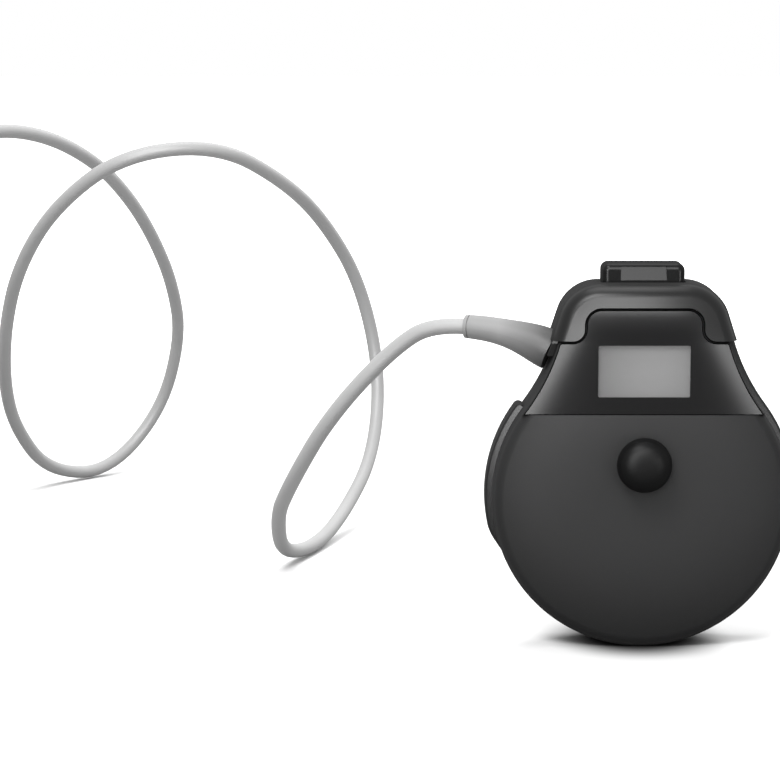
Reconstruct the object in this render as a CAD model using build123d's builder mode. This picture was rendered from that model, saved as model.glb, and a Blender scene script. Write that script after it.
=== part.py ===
"""Wireless contraction transducer of a cardiotocograph, with its plug-in electrode lead.

The transducer stands on its rim. X runs to the right, Y to the back and Z up, in millimetres.
"""
import os
from math import acos, atan2, cos, degrees, pi, radians, sin, sqrt, tan

from build123d import *

os.makedirs("parts", exist_ok=True)

# Round body: face radius, wall, and how deep each part of it is from front to back
disc_r = 42.0
wall = 2.0
front_depth = 8.25
body_depth = 21.0
dome_r = 320.0
rim_round = 0.6
disc_rim_round = 3.0
back_round = 0.7

# Neck: concave sides that leave the disc, a shoulder, and a tongue that the plug straddles
neck_sweep_r = 60.0
shoulder_half = 23.8
shoulder_rise = 3.1
tongue_half = 16.5
tongue_height = 9.3
tongue_top_r = 4.5
tongue_foot_r = 3.5
shoulder_round = 0.8

# Side grip flanks on the rear shell
flank_proud = 2.0
flank_gap = 0.5
flank_depth = 8.0
flank_round = 0.7
flank_low_deg = -25.0
flank_full_deg = -10.0
flank_left_over_deg = 1.1
flank_end_r = 1.6

# Belt stud for the buttonholes of a belt
stud_rise = 11.1
stud_head_r = 7.7
stud_height = 9.0
stud_neck_r = 4.0
stud_neck_length = 3.2
stud_lip = 1.0
stud_screw_bite = 4.0

# Fascia panel and display
fascia_rise = 24.6
fascia_inset = 0.45
fascia_thick = 1.2
fascia_chamfer = 0.2
window_width = 25.7
window_height = 14.6
window_drop = 8.3
window_round = 0.5
lens_sink = 0.1
lcd_width = 29.0
lcd_height = 17.0
lcd_thick = 2.4
flex_width = 9.0
flex_thick = 0.4
flex_land = 1.8

# Sensing plunger, its diaphragm and the strain-gauge beam
plunger_r = 13.0
plunger_proud = 1.5
plunger_thick = 3.6
plunger_round = 0.8
stem_r = 2.5
stem_length = 2.9
sensor_travel = 0.4
diaphragm_r = 17.0
diaphragm_thick = 0.8
beam_length = 30.0
beam_width = 8.0
beam_thick = 1.6
beam_root = 24.0
beam_screw_pitch = 5.0
beam_screw_bite = 1.6
beam_waist_share = 0.55
beam_waist_r = 1.8

# Boards, battery and the small electronics
board_gap = 1.6
board_thick = 1.2
board_stand_off = 3.75
standoff_inset = 4.5
standoff_r = 2.2
battery_width = 36.0
battery_height = 24.0
battery_thick = 5.0
battery_drop = 13.0
shield_x = 12.0
shield_rise = 13.0
shield_size = 14.0
shield_height = 2.2
buzzer_r = 4.5
buzzer_height = 2.6
antenna_width = 20.0
antenna_height = 5.0
antenna_thick = 0.8

# Fasteners
shell_screw_inset = 8.5
shell_screw_deg = (40.0, 140.0, 220.0, 320.0)
shell_boss_r = 3.4
screw_r = 1.2
screw_head_r = 2.3
screw_head_height = 1.5
screw_sink = 3.2
shell_screw_bite = 4.0

# Seam gasket
gasket_inset = 0.7
gasket_width = 0.7
gasket_depth = 0.8

# Contacts on top of the tongue
contact_count = 5
contact_pitch = 3.6
contact_r = 1.1
contact_block_width = 20.0
contact_block_depth = 6.0
contact_flange_thick = 1.0
contact_pad_thick = 0.8

# Plug cap that straddles the tongue
plug_cap_rise = 6.8
plug_corner_r = 12.0
plug_foot_wall = 2.2
plug_flare_deg = 18.0
plug_proud = 0.6
plug_split_depth = 14.75
plug_cover_thick = 2.2
plug_front_round = 3.6
plug_back_round = 1.2
ear_thick = 1.4
ear_drop = 4.4
ear_front_depth = 1.75
ear_depth = 4.0
carrier_width = 19.0
carrier_depth = 6.6
carrier_height = 2.2
pin_r = 0.6
pin_length = 1.9
pin_tip_gap = 0.06
plug_screw_out = 3.7
plug_screw_rise = 7.3
plug_screw_r = 0.8
plug_screw_head_r = 1.7
plug_screw_head_height = 1.0
plug_screw_length = 6.0
rail_width = 2.0
rail_depth = 1.0
rail_behind_seam = 2.7
rail_rise = 4.3
rail_length = 4.0

# Release tab on the plug cap
tab_half = 11.6
tab_rise = 5.3
tab_depth = 9.0
tab_corner_r = 2.2
tab_side_round = 1.8
tab_edge_round = 0.5
tab_facet_half = 6.4
tab_facet_low = 0.6
tab_facet_high = 0.8
tab_facet_lean = 0.9
tab_flange = 1.4
tab_flange_thick = 1.0
tab_lip = 1.0
well_depth = 3.3
spring_thick = 0.3
spring_width = 5.0
spring_length = 19.0

# Clearances
seat_gap = 0.1
slide_gap = 0.25
press_gap = 0.05

# Electrode lead: boot, cable, coil and connector
cable_d = 4.6
boot_root = (-25.6, 2.0, 83.7)
boot_groove_in = 1.0
boot_groove_width = 0.35
boot_groove_deep = 0.25
boot_sections = [(0.0, 5.7), (0.12, 5.6), (0.3, 4.9), (0.5, 4.1), (0.75, 3.6), (1.0, 3.3)]
route = [
    (-49.4, 9.6, 89.5),
    (-59.2, 12.8, 89.7),
    (-69.2, 15.8, 82.9),
    (-81.8, 19.3, 69.6),
    (-91.0, 25.3, 56.9),
    (-97.0, 33.8, 45.6),
    (-101.5, 45.0, 36.0),
    (-106.0, 66.0, 24.0),
    (-106.0, 95.0, 5.5),
    (-96.0, 124.0, 1.6),
    (-87.0, 155.0, 7.0),
    (-77.0, 181.0, 23.0),
    (-75.0, 197.0, 51.0),
    (-82.0, 193.0, 83.0),
    (-94.0, 173.0, 106.0),
    (-106.0, 148.0, 121.0),
    (-127.0, 125.0, 135.0),
    (-158.0, 119.0, 132.0),
    (-182.0, 132.0, 114.0),
    (-197.0, 151.0, 92.0),
    (-205.0, 172.0, 69.0),
    (-209.0, 194.0, 46.0),
    (-209.0, 218.0, 26.5),
    (-201.0, 243.0, 6.0),
    (-181.0, 268.0, 0.6),
    (-161.0, 281.0, 23.0),
    (-152.0, 268.0, 54.0),
    (-153.0, 247.0, 76.0),
    (-157.0, 221.0, 95.0),
    (-163.0, 195.0, 112.0),
    (-172.0, 168.0, 127.0),
    (-187.0, 142.0, 138.0),
    (-205.0, 121.0, 140.0),
    (-225.0, 106.0, 126.0),
    (-237.0, 99.0, 100.0),
    (-240.0, 98.0, 72.0),
    (-237.0, 101.0, 44.0),
    (-231.0, 112.0, 18.0),
    (-227.1, 137.0, 2.9),
    (-227.1, 160.4, 2.9),
]
coil_x = -257.0
coil_y = 165.0
coil_outer_r = 29.9
coil_pitch = 6.2
coil_layer = 5.4
coil_tail = 16.0
coil_turns_low = 3
coil_turns_high = 2
tie_thick = 0.5
tie_width = 5.0
tie_gap = 0.35
tie_round = 2.5
relief_length = 14.0
relief_tip_r = 2.9
relief_root_r = 5.0
grip_length = 24.0
grip_round = 1.2
grip_rib_count = 4
grip_rib_deep = 0.6
grip_rib_width = 1.4
grip_rib_pitch = 3.6
barrel_r = 6.2
barrel_length = 9.0
barrel_round = 0.5
insert_inset = 0.8
insert_thick = 1.0
lead_pin_r = 0.5
lead_pin_ring_r = 3.0
lead_pin_count = 6

# Planes and centres that follow from the sizes above
total_depth = stud_height + body_depth + plunger_proud
face_y = stud_height - total_depth / 2
seam_y = face_y + front_depth
back_y = face_y + body_depth
plunger_y = back_y + plunger_proud
disc_z = disc_r
stud_z = disc_z + stud_rise
fascia_bottom_z = disc_z + fascia_rise
shoulder_z = 2 * disc_r + shoulder_rise
window_z = shoulder_z - window_drop
tongue_top_z = shoulder_z + tongue_height
plug_top_z = tongue_top_z + plug_cap_rise
tab_top_z = plug_top_z + tab_rise
well_floor_z = plug_top_z - well_depth
rail_low_z = shoulder_z + rail_rise
rail_high_z = rail_low_z + rail_length
plug_screw_x = tongue_half + plug_screw_out
plug_screw_z = shoulder_z + plug_screw_rise
shell_screw_pitch_r = disc_r - shell_screw_inset
board_r = shell_screw_pitch_r - shell_boss_r - board_gap
standoff_pitch_r = board_r - standoff_inset
antenna_z = tongue_top_z - wall - contact_flange_thick - seat_gap - antenna_height / 2
board_y = face_y + wall + board_stand_off
board_back_y = board_y + board_thick
contact_y = seam_y
plug_front_y = face_y - plug_proud
plug_split_y = face_y + plug_split_depth
ear_front_y = face_y + ear_front_depth
rail_y = seam_y + rail_behind_seam
plug_back_y = plug_split_y + plug_cover_thick
plug_foot_z = shoulder_z + slide_gap
bridge_z = tongue_top_z + slide_gap
tab_back_y = plug_split_y - seat_gap
tab_front_y = tab_back_y - tab_depth
flange_top_z = plug_top_z - tab_lip - seat_gap
flange_low_z = flange_top_z - tab_flange_thick
cable_r = cable_d / 2
coil_low_z = tie_thick + seat_gap + cable_r
coil_high_z = coil_low_z + coil_layer
coil_end_r = coil_outer_r - coil_pitch * (coil_turns_low - coil_turns_high) / 2
grip_r = coil_high_z
standoff_deg = (45.0, 135.0, 225.0, 315.0)

# The neck's side is one arc that touches the disc and ends at the shoulder: its angle on the disc
neck_reach = disc_r + neck_sweep_r
shoulder_reach = sqrt(shoulder_half ** 2 + (shoulder_z - disc_z) ** 2)
shoulder_turn = acos(
    (neck_reach ** 2 + shoulder_reach ** 2 - neck_sweep_r ** 2) / (2 * neck_reach * shoulder_reach)
)
neck_leave_deg = degrees(atan2(shoulder_z - disc_z, shoulder_half) - shoulder_turn)


def at_y(y):
    """Front-view plane at a depth y: its local axes are X and Z, and it faces the viewer."""
    return Plane(origin=(0, y, 0), x_dir=(1, 0, 0), z_dir=(0, -1, 0))


def at_z(z):
    """Plan-view plane at a height z."""
    return Plane.XY.offset(z)


def corners_near(shape, points):
    """The corners of a sketch that lie nearest to the given points."""
    found = []
    for point in points:
        target = Vector(*point)
        found.append(min(shape.vertices(), key=lambda v: (Vector(v.X, v.Y, 0) - target).length))
    return found


def neck_arc(grow, z):
    """Half width of the neck at height z, on the outline grown by grow."""
    centre_x = neck_reach * cos(radians(neck_leave_deg))
    centre_z = disc_z + neck_reach * sin(radians(neck_leave_deg))
    return centre_x - sqrt((neck_sweep_r - grow) ** 2 - (centre_z - z) ** 2)


def on_disc(radius, angle):
    """A point of the front view at a radius and an angle in degrees from the disc centre."""
    return (radius * cos(radians(angle)), disc_z + radius * sin(radians(angle)))


def body_profile(grow=0.0):
    """Disc, concave neck, shoulder and tongue as one face, grown outwards by grow."""
    radius = disc_r + grow
    top = tongue_top_z + grow
    foot = shoulder_z + grow
    half = tongue_half + grow
    leave = on_disc(radius, neck_leave_deg)
    middle_z = (leave[1] + foot) / 2
    shoulder = (neck_arc(grow, foot), foot)
    with BuildSketch(Plane.XY) as outline:
        with BuildLine():
            ThreePointArc((0, disc_z - radius), on_disc(radius, (neck_leave_deg - 90) / 2), leave)
            ThreePointArc(leave, (neck_arc(grow, middle_z), middle_z), shoulder)
            Polyline(shoulder, (half, foot), (half, top), (0, top))
            mirror(about=Plane.YZ)
        make_face()
        tops = corners_near(outline.sketch_local, [(half, top), (-half, top)])
        fillet(tops, tongue_top_r + grow)
        feet = corners_near(outline.sketch_local, [(half, foot), (-half, foot)])
        fillet(feet, tongue_foot_r - grow)
        ends = corners_near(outline.sketch_local, [shoulder, (-shoulder[0], foot)])
        fillet(ends, shoulder_round)
    return outline.sketch


def ring_spots(radius, angles):
    """Front-view places on a circle round the disc centre."""
    return Locations(*[on_disc(radius, angle) for angle in angles])


def dome_y(radius):
    """Depth of the domed back's outer surface at a radius from the disc centre."""
    return back_y - dome_r + sqrt(dome_r ** 2 - radius ** 2)


plug_foot_half = shoulder_half + plug_foot_wall
body_outline = body_profile()
cavity_outline = body_profile(-wall)
plug_cut_outline = body_profile(slide_gap)
fascia_outline = body_profile(-fascia_inset)
fascia_seat_outline = body_profile(-fascia_inset + seat_gap)

# Space inside the rear shell, under its domed back
with BuildPart() as rear_cavity:
    with BuildSketch(at_y(seam_y)):
        add(cavity_outline)
    extrude(amount=-(back_y - seam_y))
    with Locations((0, back_y - dome_r, disc_z)):
        Sphere(dome_r - wall, mode=Mode.INTERSECT)

# Space that the front shell may take: the disc with its softly rounded rim, and all above it
with BuildPart() as front_space:
    with BuildSketch(at_y(face_y)):
        with Locations((0, disc_z)):
            Circle(disc_r)
    extrude(amount=-front_depth)
    fillet(front_space.edges().group_by(Axis.Y)[0], disc_rim_round)
    with BuildSketch(at_y(face_y)):
        with Locations((0, fascia_bottom_z - seat_gap)):
            Rectangle(4 * disc_r, 4 * disc_r, align=(Align.CENTER, Align.MIN))
    extrude(amount=-front_depth)

# Front shell: flat round face with the neck, open at the back, moulded with its bosses
with BuildPart() as front_shell:
    with BuildSketch(at_y(face_y)):
        add(body_outline)
    extrude(amount=-front_depth)
    fillet(front_shell.edges().group_by(Axis.Y)[0], rim_round)
    add(front_space.part, mode=Mode.INTERSECT)
    with BuildSketch(at_y(face_y + wall)):
        add(cavity_outline)
    extrude(amount=-(front_depth - wall), mode=Mode.SUBTRACT)
    with BuildSketch(at_y(face_y)):
        add(fascia_seat_outline)
        with Locations((0, fascia_bottom_z - seat_gap)):
            Rectangle(
                2 * disc_r,
                2 * disc_r,
                align=(Align.CENTER, Align.MIN),
                mode=Mode.INTERSECT,
            )
    extrude(amount=-fascia_thick, mode=Mode.SUBTRACT)
    with BuildSketch(at_y(face_y)):
        with Locations((0, window_z)):
            Rectangle(lcd_width + 2 * seat_gap, lcd_height + 2 * seat_gap)
    extrude(amount=-front_depth, mode=Mode.SUBTRACT)
    with BuildSketch(at_y(face_y + wall)):
        with ring_spots(shell_screw_pitch_r, shell_screw_deg):
            Circle(shell_boss_r)
    extrude(amount=-(front_depth - wall))
    with BuildSketch(at_y(face_y + wall)):
        with ring_spots(standoff_pitch_r, standoff_deg):
            Circle(standoff_r)
    extrude(amount=-board_stand_off)
    with BuildSketch(at_y(seam_y)):
        with ring_spots(shell_screw_pitch_r, shell_screw_deg):
            Circle(screw_r + press_gap)
    extrude(amount=front_depth - wall, mode=Mode.SUBTRACT)
    with BuildSketch(at_y(face_y)):
        with Locations((0, stud_z)):
            Circle(screw_r + press_gap)
    extrude(amount=-2 * wall, mode=Mode.SUBTRACT)
    with BuildSketch(at_z(tongue_top_z - 2 * wall)):
        with Locations((0, contact_y)):
            Rectangle(contact_block_width + 2 * seat_gap, contact_block_depth + 2 * seat_gap)
    extrude(amount=4 * wall, mode=Mode.SUBTRACT)
front_shell.part.label = "front_shell"
export_step(front_shell.part, "parts/front_shell.step")


def flank_band(side):
    """Front-view face of one grip flank: side 1 runs up to the plug, side -1 stops below the lead."""
    radius = disc_r + flank_proud
    root = disc_r - wall
    low = on_disc(disc_r, flank_low_deg)
    full = on_disc(radius, flank_full_deg)
    low_dir = Vector(*on_disc(1, flank_low_deg + 90)) - Vector(0, disc_z)
    full_dir = Vector(*on_disc(1, flank_full_deg + 90)) - Vector(0, disc_z)
    end_deg = neck_leave_deg if side > 0 else neck_leave_deg + flank_left_over_deg
    end = on_disc(radius, end_deg)
    with BuildSketch(Plane.XY) as band:
        with BuildLine():
            Spline(low, full, tangents=[low_dir, full_dir])
            ThreePointArc(full, on_disc(radius, (flank_full_deg + end_deg) / 2), end)
            if side > 0:
                foot_z = shoulder_z
                middle_z = (end[1] + foot_z) / 2
                tip = (neck_arc(flank_proud, foot_z), foot_z)
                ThreePointArc(end, (neck_arc(flank_proud, middle_z), middle_z), tip)
                inner_z = shoulder_z - 2 * wall
                inner = (neck_arc(-wall / 2, inner_z), inner_z)
                step = (neck_arc(-wall / 2, foot_z), foot_z)
                Polyline(tip, step, inner, on_disc(root, neck_leave_deg))
            else:
                Line(end, on_disc(root, end_deg))
            ThreePointArc(
                on_disc(root, end_deg),
                on_disc(root, (end_deg + flank_low_deg) / 2),
                on_disc(root, flank_low_deg),
            )
            Line(on_disc(root, flank_low_deg), low)
        make_face()
        if side < 0:
            fillet(corners_near(band.sketch_local, [end]), flank_end_r)
            mirror(about=Plane.YZ, mode=Mode.REPLACE)
    return band.sketch


def grip_flank(side):
    """One flank as a solid, its outer edges rounded front and back."""
    with BuildPart() as flank:
        with BuildSketch(at_y(seam_y + flank_gap)):
            add(flank_band(side))
        extrude(amount=-flank_depth)
        rims = flank.edges().group_by(Axis.Y)[0] + flank.edges().group_by(Axis.Y)[-1]
        curved = rims.filter_by(GeomType.LINE, reverse=True)
        fillet(
            curved.filter_by(lambda e: Vector(e.center().X, e.center().Z - disc_z).length > disc_r),
            flank_round,
        )
    return flank.part


def rim_ring(inset, width):
    """Front-view ring that follows the body's outline, inset from it."""
    with BuildSketch(Plane.XY) as ring:
        add(body_profile(-inset))
        add(body_profile(-inset - width), mode=Mode.SUBTRACT)
    return ring.sketch


right_flank = grip_flank(1)
left_flank = grip_flank(-1)
gasket_groove = rim_ring(gasket_inset, gasket_width)
gasket_ring = rim_ring(gasket_inset + press_gap, gasket_width - 2 * press_gap)

# Depths inside the rear shell: screw seats, boss roots, beam and diaphragm
screw_seat_y = dome_y(shell_screw_pitch_r) - screw_sink
shell_boss_back_y = dome_y(shell_screw_pitch_r) - wall / 2
beam_boss_back_y = dome_y(beam_root) - wall / 2
diaphragm_y = dome_y(diaphragm_r) - diaphragm_thick
plunger_front_y = plunger_y - plunger_thick
beam_back_y = plunger_front_y - stem_length
beam_y = beam_back_y - beam_thick
stem_y = beam_back_y + sensor_travel + press_gap
beam_screw_spots = [
    (-beam_root - beam_screw_pitch / 2, disc_z),
    (-beam_root + beam_screw_pitch / 2, disc_z),
]

# Rear shell: domed back, side grip flanks, hole for the plunger and counterbored screw seats
with BuildPart() as rear_shell:
    with BuildSketch(at_y(seam_y)):
        add(body_outline)
    extrude(amount=-(back_y - seam_y))
    with Locations((0, back_y - dome_r, disc_z)):
        Sphere(dome_r, mode=Mode.INTERSECT)
    fillet(rear_shell.edges().group_by(Axis.Y)[-1], back_round)
    add(right_flank)
    add(left_flank)
    add(rear_cavity.part, mode=Mode.SUBTRACT)
    with BuildSketch(at_y(seam_y)):
        with ring_spots(shell_screw_pitch_r, shell_screw_deg):
            Circle(shell_boss_r)
    extrude(amount=-(shell_boss_back_y - seam_y))
    with BuildSketch(at_y(beam_back_y)):
        with Locations((-beam_root, disc_z)):
            Rectangle(2 * beam_screw_pitch, beam_width)
    extrude(amount=-(beam_boss_back_y - beam_back_y))
    with BuildSketch(at_y(seam_y)):
        with ring_spots(shell_screw_pitch_r, shell_screw_deg):
            Circle(screw_r + press_gap)
    extrude(amount=-body_depth, mode=Mode.SUBTRACT)
    with BuildSketch(at_y(screw_seat_y)):
        with ring_spots(shell_screw_pitch_r, shell_screw_deg):
            Circle(screw_head_r + seat_gap)
    extrude(amount=-body_depth, mode=Mode.SUBTRACT)
    with BuildSketch(at_y(beam_back_y)):
        with Locations(*beam_screw_spots):
            Circle(screw_r + press_gap)
    extrude(amount=-beam_screw_bite, mode=Mode.SUBTRACT)
    with BuildSketch(at_y(seam_y)):
        with Locations((0, disc_z)):
            Circle(plunger_r + slide_gap)
    extrude(amount=-body_depth, mode=Mode.SUBTRACT)
    with BuildSketch(at_y(diaphragm_y)):
        with Locations((0, disc_z)):
            Circle(diaphragm_r)
    extrude(amount=-body_depth, mode=Mode.SUBTRACT)
    with BuildSketch(at_y(seam_y)):
        add(gasket_groove)
    extrude(amount=-gasket_depth, mode=Mode.SUBTRACT)
    with BuildSketch(at_z(tongue_top_z - 2 * wall)):
        with Locations((0, contact_y)):
            Rectangle(contact_block_width + 2 * seat_gap, contact_block_depth + 2 * seat_gap)
    extrude(amount=4 * wall, mode=Mode.SUBTRACT)
    with BuildSketch(at_z(rail_low_z - slide_gap)):
        for side in (1, -1):
            with Locations((side * tongue_half, rail_y)):
                Rectangle(2 * (rail_depth + slide_gap), rail_width + 2 * slide_gap)
    extrude(amount=tongue_top_z - rail_low_z + wall, mode=Mode.SUBTRACT)
rear_shell.part.label = "rear_shell"
export_step(rear_shell.part, "parts/rear_shell.step")

# Seam gasket: a thin silicone ring in the rear shell's groove, open where the contacts pass
with BuildPart() as seam_gasket:
    with BuildSketch(at_y(seam_y)):
        add(gasket_ring)
    extrude(amount=-(gasket_depth - press_gap))
    with BuildSketch(at_z(tongue_top_z - 2 * wall)):
        with Locations((0, contact_y)):
            Rectangle(contact_block_width + 4 * seat_gap, contact_block_depth + 2 * seat_gap)
    extrude(amount=4 * wall, mode=Mode.SUBTRACT)
seam_gasket.part.label = "seam_gasket"
export_step(seam_gasket.part, "parts/seam_gasket.step")

# Glossy fascia over the neck, seated in the front shell, with its display window
with BuildPart() as fascia_panel:
    with BuildSketch(at_y(face_y)):
        add(fascia_outline)
        with Locations((0, fascia_bottom_z)):
            Rectangle(
                2 * disc_r,
                2 * disc_r,
                align=(Align.CENTER, Align.MIN),
                mode=Mode.INTERSECT,
            )
    extrude(amount=-fascia_thick)
    chamfer(fascia_panel.edges().group_by(Axis.Y)[0], fascia_chamfer)
    with BuildSketch(at_y(face_y)):
        with Locations((0, window_z)):
            RectangleRounded(window_width, window_height, window_round)
    extrude(amount=-fascia_thick, mode=Mode.SUBTRACT)
fascia_panel.part.label = "fascia_panel"
export_step(fascia_panel.part, "parts/fascia_panel.step")

# Clear lens that fills the window
with BuildPart() as display_lens:
    with BuildSketch(at_y(face_y + lens_sink)):
        with Locations((0, window_z)):
            RectangleRounded(
                window_width - 2 * press_gap, window_height - 2 * press_gap, window_round
            )
    extrude(amount=-(fascia_thick - lens_sink))
display_lens.part.label = "display_lens"
export_step(display_lens.part, "parts/display_lens.step")

# Display module behind the lens, in the front shell's opening
with BuildPart() as display_module:
    with BuildSketch(at_y(face_y + fascia_thick)):
        with Locations((0, window_z)):
            Rectangle(lcd_width, lcd_height)
    extrude(amount=-lcd_thick)
display_module.part.label = "display_module"
export_step(display_module.part, "parts/display_module.step")

# Flat flex from the display's back down onto the main board
lcd_back_y = face_y + fascia_thick + lcd_thick
flex_top_z = disc_z + board_r + flex_width
with BuildPart() as display_flex:
    with BuildSketch(Plane.YZ.offset(-flex_width / 2)):
        with BuildLine():
            Polyline(
                (lcd_back_y, flex_top_z),
                (lcd_back_y + flex_thick, flex_top_z),
                (lcd_back_y + flex_thick, disc_z + board_r + flex_thick),
                (board_y, disc_z + board_r - flex_land),
                (board_y - flex_thick, disc_z + board_r - flex_land),
                (lcd_back_y, disc_z + board_r),
                close=True,
            )
        make_face()
    extrude(amount=flex_width)
display_flex.part.label = "display_flex"
export_step(display_flex.part, "parts/display_flex.step")

# Belt stud: short neck and a domed head that a belt's buttonhole slips over
with BuildPart() as belt_stud:
    with BuildSketch(Plane.YZ):
        with BuildLine():
            head_y = face_y - stud_neck_length
            tip_y = face_y - stud_height
            Polyline(
                (face_y, stud_z),
                (face_y, stud_z + stud_neck_r),
                (head_y, stud_z + stud_neck_r),
                (head_y, stud_z + stud_head_r - stud_lip),
                (head_y - stud_lip, stud_z + stud_head_r),
            )
            Spline(
                (head_y - stud_lip, stud_z + stud_head_r),
                (tip_y, stud_z),
                tangents=[(-1, 0), (0, -1)],
            )
            Line((tip_y, stud_z), (face_y, stud_z))
        make_face()
    revolve(axis=Axis((0, 0, stud_z), (0, 1, 0)))
    with BuildSketch(at_y(face_y)):
        with Locations((0, stud_z)):
            Circle(screw_r + press_gap)
    extrude(amount=stud_screw_bite, mode=Mode.SUBTRACT)
belt_stud.part.label = "belt_stud"
export_step(belt_stud.part, "parts/belt_stud.step")


def screw_bodies(spots, head_y, head_r, head_height, shaft_r, shaft_length, toward):
    """Pan-head screws with a hex socket, heads at head_y, shafts running toward -1 or 1 along Y."""
    with BuildPart() as screws:
        with BuildSketch(at_y(head_y)):
            with Locations(*spots):
                Circle(head_r)
        extrude(amount=toward * head_height)
        with BuildSketch(at_y(head_y)):
            with Locations(*spots):
                Circle(shaft_r)
        extrude(amount=-toward * shaft_length)
        with BuildSketch(at_y(head_y - toward * head_height)):
            with Locations(*spots):
                RegularPolygon(head_r / 2, 6)
        extrude(amount=-toward * head_height / 2, mode=Mode.SUBTRACT)
    return screws.part


# Stud screw, from inside through the front shell's wall
stud_screw = screw_bodies(
    [(0, stud_z)],
    face_y + wall,
    screw_head_r,
    screw_head_height,
    screw_r,
    wall + stud_screw_bite - press_gap,
    -1,
)
stud_screw.label = "stud_screw"
export_step(stud_screw, "parts/stud_screw.step")

# Four shell screws, sunk in the domed back
shell_screws = screw_bodies(
    [on_disc(shell_screw_pitch_r, angle) for angle in shell_screw_deg],
    screw_seat_y,
    screw_head_r,
    screw_head_height,
    screw_r,
    screw_seat_y - seam_y + shell_screw_bite,
    -1,
)
shell_screws.label = "shell_screws"
export_step(shell_screws, "parts/shell_screws.step")

# Two screws that clamp the beam's fixed end to its boss
beam_screws = screw_bodies(
    beam_screw_spots,
    beam_y,
    screw_head_r,
    screw_head_height,
    screw_r,
    beam_thick + beam_screw_bite - press_gap,
    1,
)
beam_screws.label = "beam_screws"
export_step(beam_screws, "parts/beam_screws.step")

# Sensing plunger: round pressing face with a stem that bends the beam
with BuildPart() as sensor_plunger:
    with BuildSketch(at_y(plunger_front_y)):
        with Locations((0, disc_z)):
            Circle(plunger_r)
    extrude(amount=-plunger_thick)
    fillet(sensor_plunger.edges().group_by(Axis.Y)[-1], plunger_round)
    with BuildSketch(at_y(plunger_front_y)):
        with Locations((0, disc_z)):
            Circle(stem_r)
    extrude(amount=plunger_front_y - stem_y)
sensor_plunger.part.label = "sensor_plunger"
export_step(sensor_plunger.part, "parts/sensor_plunger.step")

# Silicone diaphragm that seals the gap round the plunger
with BuildPart() as sensor_diaphragm:
    with BuildSketch(at_y(diaphragm_y)):
        with Locations((0, disc_z)):
            Circle(diaphragm_r - press_gap)
            Circle(plunger_r + press_gap, mode=Mode.SUBTRACT)
    extrude(amount=-diaphragm_thick)
sensor_diaphragm.part.label = "sensor_diaphragm"
export_step(sensor_diaphragm.part, "parts/sensor_diaphragm.step")

# Strain-gauge beam: thinned by a waist where it bends, free end under the stem
with BuildPart() as strain_beam:
    with BuildSketch(at_y(beam_y)):
        with Locations((-beam_root - beam_screw_pitch, disc_z)):
            Rectangle(beam_length, beam_width, align=(Align.MIN, Align.CENTER))
        waist_x = -beam_root - beam_screw_pitch + beam_waist_share * beam_length
        with Locations((waist_x, disc_z + beam_width / 2), (waist_x, disc_z - beam_width / 2)):
            Circle(beam_waist_r, mode=Mode.SUBTRACT)
        with Locations(*beam_screw_spots):
            Circle(screw_r + press_gap, mode=Mode.SUBTRACT)
    extrude(amount=-beam_thick)
strain_beam.part.label = "strain_beam"
export_step(strain_beam.part, "parts/strain_beam.step")

# Main board on its four stand-offs
with BuildPart() as main_board:
    with BuildSketch(at_y(board_y)):
        with Locations((0, disc_z)):
            Circle(board_r)
    extrude(amount=-board_thick)
main_board.part.label = "main_board"
export_step(main_board.part, "parts/main_board.step")

# Battery pack, radio shield and buzzer behind the board
with BuildPart() as battery_pack:
    with BuildSketch(at_y(board_back_y)):
        with Locations((0, disc_z - battery_drop)):
            RectangleRounded(battery_width, battery_height, battery_thick / 2)
    extrude(amount=-battery_thick)
battery_pack.part.label = "battery_pack"
export_step(battery_pack.part, "parts/battery_pack.step")

with BuildPart() as radio_shield:
    with BuildSketch(at_y(board_back_y)):
        with Locations((-shield_x, disc_z + shield_rise)):
            Rectangle(shield_size, shield_size)
    extrude(amount=-shield_height)
radio_shield.part.label = "radio_shield"
export_step(radio_shield.part, "parts/radio_shield.step")

with BuildPart() as buzzer:
    with BuildSketch(at_y(board_back_y)):
        with Locations((shield_x, disc_z + shield_rise)):
            Circle(buzzer_r)
    extrude(amount=-buzzer_height)
buzzer.part.label = "buzzer"
export_step(buzzer.part, "parts/buzzer.step")

# Antenna strip flat on the inside of the neck, above the display
with BuildPart() as antenna:
    with BuildSketch(at_y(face_y + wall)):
        with Locations((0, antenna_z)):
            Rectangle(antenna_width, antenna_height)
    extrude(amount=-antenna_thick)
antenna.part.label = "antenna"
export_step(antenna.part, "parts/antenna.step")

# Contact block let into the top of the tongue, with a flange under the wall
contact_spots = [
    ((i - (contact_count - 1) / 2) * contact_pitch, contact_y) for i in range(contact_count)
]
with BuildPart() as contact_block:
    with BuildSketch(at_z(tongue_top_z)):
        with Locations((0, contact_y)):
            Rectangle(contact_block_width, contact_block_depth)
    extrude(amount=-(wall + contact_flange_thick))
    with BuildSketch(at_z(tongue_top_z - wall - press_gap)):
        with Locations((0, contact_y)):
            Rectangle(contact_block_width + wall, contact_block_depth + wall)
    extrude(amount=-contact_flange_thick)
    with BuildSketch(at_z(tongue_top_z)):
        with Locations(*contact_spots):
            Circle(contact_r + press_gap)
    extrude(amount=-contact_pad_thick, mode=Mode.SUBTRACT)
contact_block.part.label = "contact_block"
export_step(contact_block.part, "parts/contact_block.step")

with BuildPart() as contact_pads:
    with BuildSketch(at_z(tongue_top_z)):
        with Locations(*contact_spots):
            Circle(contact_r)
    extrude(amount=-contact_pad_thick)
contact_pads.part.label = "contact_pads"
export_step(contact_pads.part, "parts/contact_pads.step")


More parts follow.
